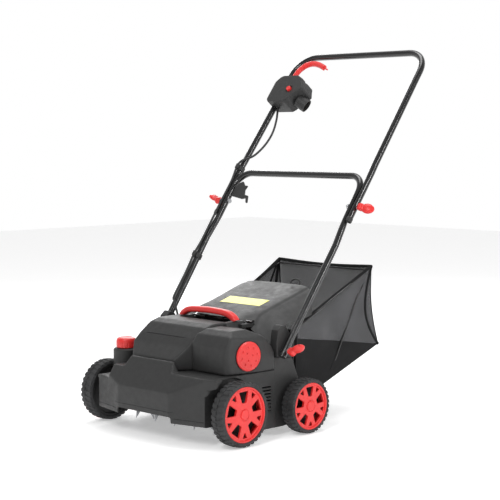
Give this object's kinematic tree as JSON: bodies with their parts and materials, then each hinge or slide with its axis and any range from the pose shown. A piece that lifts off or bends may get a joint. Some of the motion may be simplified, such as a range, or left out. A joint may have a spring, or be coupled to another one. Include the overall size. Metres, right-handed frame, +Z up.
{
  "type": "lawn dethatcher",
  "caption": "Electric lawn dethatcher: wheeled deck with a bladed rotor under a hood, folding two-part push handle with switch box and lever, rear flap and open collection bag.",
  "frame": {"origin": "on the ground under the middle of the whole machine's outline, handle and bag included", "axes": "+Z up, +Y back towards the user, -Y the direction of travel, +X to the machine's right as seen from behind"},
  "size_m": [0.64, 0.8967, 1.0509],
  "materials": {
    "black_plastic": "fine moulded texture, satin",
    "red_plastic": "smooth moulded red",
    "tyre": "block tread, matt",
    "black_tube": "black powder coat, satin",
    "steel": "zinc plated",
    "motor_case": "cast, plain",
    "rubber": "smooth matt",
    "bag_fabric": "woven black fabric with mesh panels",
    "yellow_label": "pale yellow film",
    "brass": "bright"
  },
  "bodies": {
    "deck": {"deck_shell": "black_plastic", "top_cover": "black_plastic", "belt_cover": "black_plastic", "belt_cover_cap": "red_plastic", "carry_handle": "red_plastic", "motor_housing": "motor_case", "motor_saddle": "black_plastic", "drive_belt": "rubber", "bearing_plate_left": "steel", "bearing_plate_right": "steel", "rear_axle_left": "steel", "rear_axle_right": "steel", "handle_bracket_left": "black_plastic", "handle_bracket_right": "black_plastic", "flap_pin": "steel", "knob_pedestal": "black_plastic", "cable_gland": "rubber", "cable_tail": "rubber"},
    "front_axle": {"front_axle": "steel"},
    "rotor": {"rotor_shaft": "steel", "blade_stack": "steel", "rotor_pulley": "black_plastic"},
    "armature": {"motor_armature": "steel", "motor_pulley": "steel"},
    "depth_knob": {"depth_knob": "red_plastic"},
    "lower_handle": {"lower_handle_tube": "black_tube", "lower_bolt_left": "steel", "lower_bolt_right": "steel", "cord_hook": "black_plastic", "cable_clip_lower": "black_plastic", "cable_lower": "rubber", "cable_bend": "rubber"},
    "upper_handle": {"upper_handle_tube": "black_tube", "upper_bolt_left": "steel", "upper_bolt_right": "steel", "switch_box_front": "black_plastic", "switch_box_back": "black_plastic", "plug_inlet": "black_plastic", "inlet_pins": "brass", "cable_clip_upper": "black_plastic", "cable_upper": "rubber"},
    "bail_lever": {"bail_lever": "red_plastic"},
    "lock_button": {"lock_button": "red_plastic"},
    "flap": {"flap": "black_plastic", "flap_label": "yellow_label", "flap_grip": "black_plastic"},
    "bag": {"grass_bag": "bag_fabric", "bag_frame": "black_tube"},
    "front_left_wheel": {"front_left_wheel_tyre": "tyre", "front_left_wheel_rim": "red_plastic"},
    "front_right_wheel": {"front_right_wheel_tyre": "tyre", "front_right_wheel_rim": "red_plastic"},
    "rear_left_wheel": {"rear_left_wheel_tyre": "tyre", "rear_left_wheel_rim": "red_plastic"},
    "rear_right_wheel": {"rear_right_wheel_tyre": "tyre", "rear_right_wheel_rim": "red_plastic"},
    "quick_lever_lower_left": {"quick_lever_lower_left": "red_plastic"},
    "quick_lever_lower_right": {"quick_lever_lower_right": "red_plastic"},
    "quick_lever_upper_left": {"quick_lever_upper_left": "red_plastic"},
    "quick_lever_upper_right": {"quick_lever_upper_right": "red_plastic"}
  },
  "joints": [
    {"name": "front_axle_swing", "type": "hinge", "parent": "deck", "child": "front_axle", "pos_m": [0, -0.4015, 0.105], "axis": [1, 0, 0], "range_deg": [0, 16]},
    {"name": "depth_knob_turn", "type": "hinge", "parent": "deck", "child": "depth_knob", "pos_m": [-0.2, -0.3345, 0.206], "axis": [0, 0, 1], "range_deg": [0, 240]},
    {"name": "front_left_wheel_spin", "type": "hinge", "parent": "front_axle", "child": "front_left_wheel", "pos_m": [-0.2635, -0.3465, 0.086], "axis": [1, 0, 0], "continuous": true},
    {"name": "rear_left_wheel_spin", "type": "hinge", "parent": "deck", "child": "rear_left_wheel", "pos_m": [-0.2635, -0.0965, 0.075], "axis": [1, 0, 0], "continuous": true},
    {"name": "front_right_wheel_spin", "type": "hinge", "parent": "front_axle", "child": "front_right_wheel", "pos_m": [0.2635, -0.3465, 0.086], "axis": [1, 0, 0], "continuous": true},
    {"name": "rear_right_wheel_spin", "type": "hinge", "parent": "deck", "child": "rear_right_wheel", "pos_m": [0.2635, -0.0965, 0.075], "axis": [1, 0, 0], "continuous": true},
    {"name": "rotor_spin", "type": "hinge", "parent": "deck", "child": "rotor", "pos_m": [0, -0.3015, 0.07], "axis": [1, 0, 0], "continuous": true},
    {"name": "armature_spin", "type": "hinge", "parent": "deck", "child": "armature", "pos_m": [0, -0.2835, 0.226], "axis": [1, 0, 0], "continuous": true},
    {"name": "lower_handle_fold", "type": "hinge", "parent": "deck", "child": "lower_handle", "pos_m": [0, -0.1625, 0.228], "axis": [-1, 0, 0], "range_deg": [-112, 0]},
    {"name": "upper_handle_fold", "type": "hinge", "parent": "lower_handle", "child": "upper_handle", "pos_m": [0, 0.1055, 0.603], "axis": [1, 0, 0], "range_deg": [0, 150], "deforming": ["cable_bend"]},
    {"name": "quick_lever_lower_left_turn", "type": "hinge", "parent": "lower_handle", "child": "quick_lever_lower_left", "pos_m": [-0.2735, -0.1625, 0.228], "axis": [0, 0.848, -0.5299], "range_deg": [0, 44]},
    {"name": "quick_lever_lower_right_turn", "type": "hinge", "parent": "lower_handle", "child": "quick_lever_lower_right", "pos_m": [0.2735, -0.1625, 0.228], "axis": [0, -0.848, 0.5299], "range_deg": [0, 44]},
    {"name": "quick_lever_upper_left_turn", "type": "hinge", "parent": "upper_handle", "child": "quick_lever_upper_left", "pos_m": [-0.282, 0.1055, 0.603], "axis": [0, 1, 0], "range_deg": [0, 56]},
    {"name": "quick_lever_upper_right_turn", "type": "hinge", "parent": "upper_handle", "child": "quick_lever_upper_right", "pos_m": [0.282, 0.1055, 0.603], "axis": [0, 0.5, 0.866], "range_deg": [0, 56]},
    {"name": "bail_lever_squeeze", "type": "hinge", "parent": "upper_handle", "child": "bail_lever", "pos_m": [-0.228, 0.36741, 0.96288], "axis": [0, -0.7958, 0.6056], "range_deg": [0, 8], "stiffness_Nm_per_rad": 2},
    {"name": "lock_button_press", "type": "slide", "parent": "upper_handle", "child": "lock_button", "axis": [0, 0.7958, -0.6056], "range_m": [0, 0.004], "stiffness_N_per_m": 300},
    {"name": "flap_open", "type": "hinge", "parent": "deck", "child": "flap", "pos_m": [0, -0.169, 0.2955], "axis": [1, 0, 0], "range_deg": [0, 70]},
    {"name": "bag_lift_off", "type": "slide", "parent": "deck", "child": "bag", "axis": [0, 0.9052, 0.4251], "range_m": [0, 0.3]}
  ],
  "couplings": [
    {"joint": "depth_knob_turn", "follows": "front_axle_swing", "ratio": 15},
    {"joint": "armature_spin", "follows": "rotor_spin", "ratio": 1.8667}
  ]
}
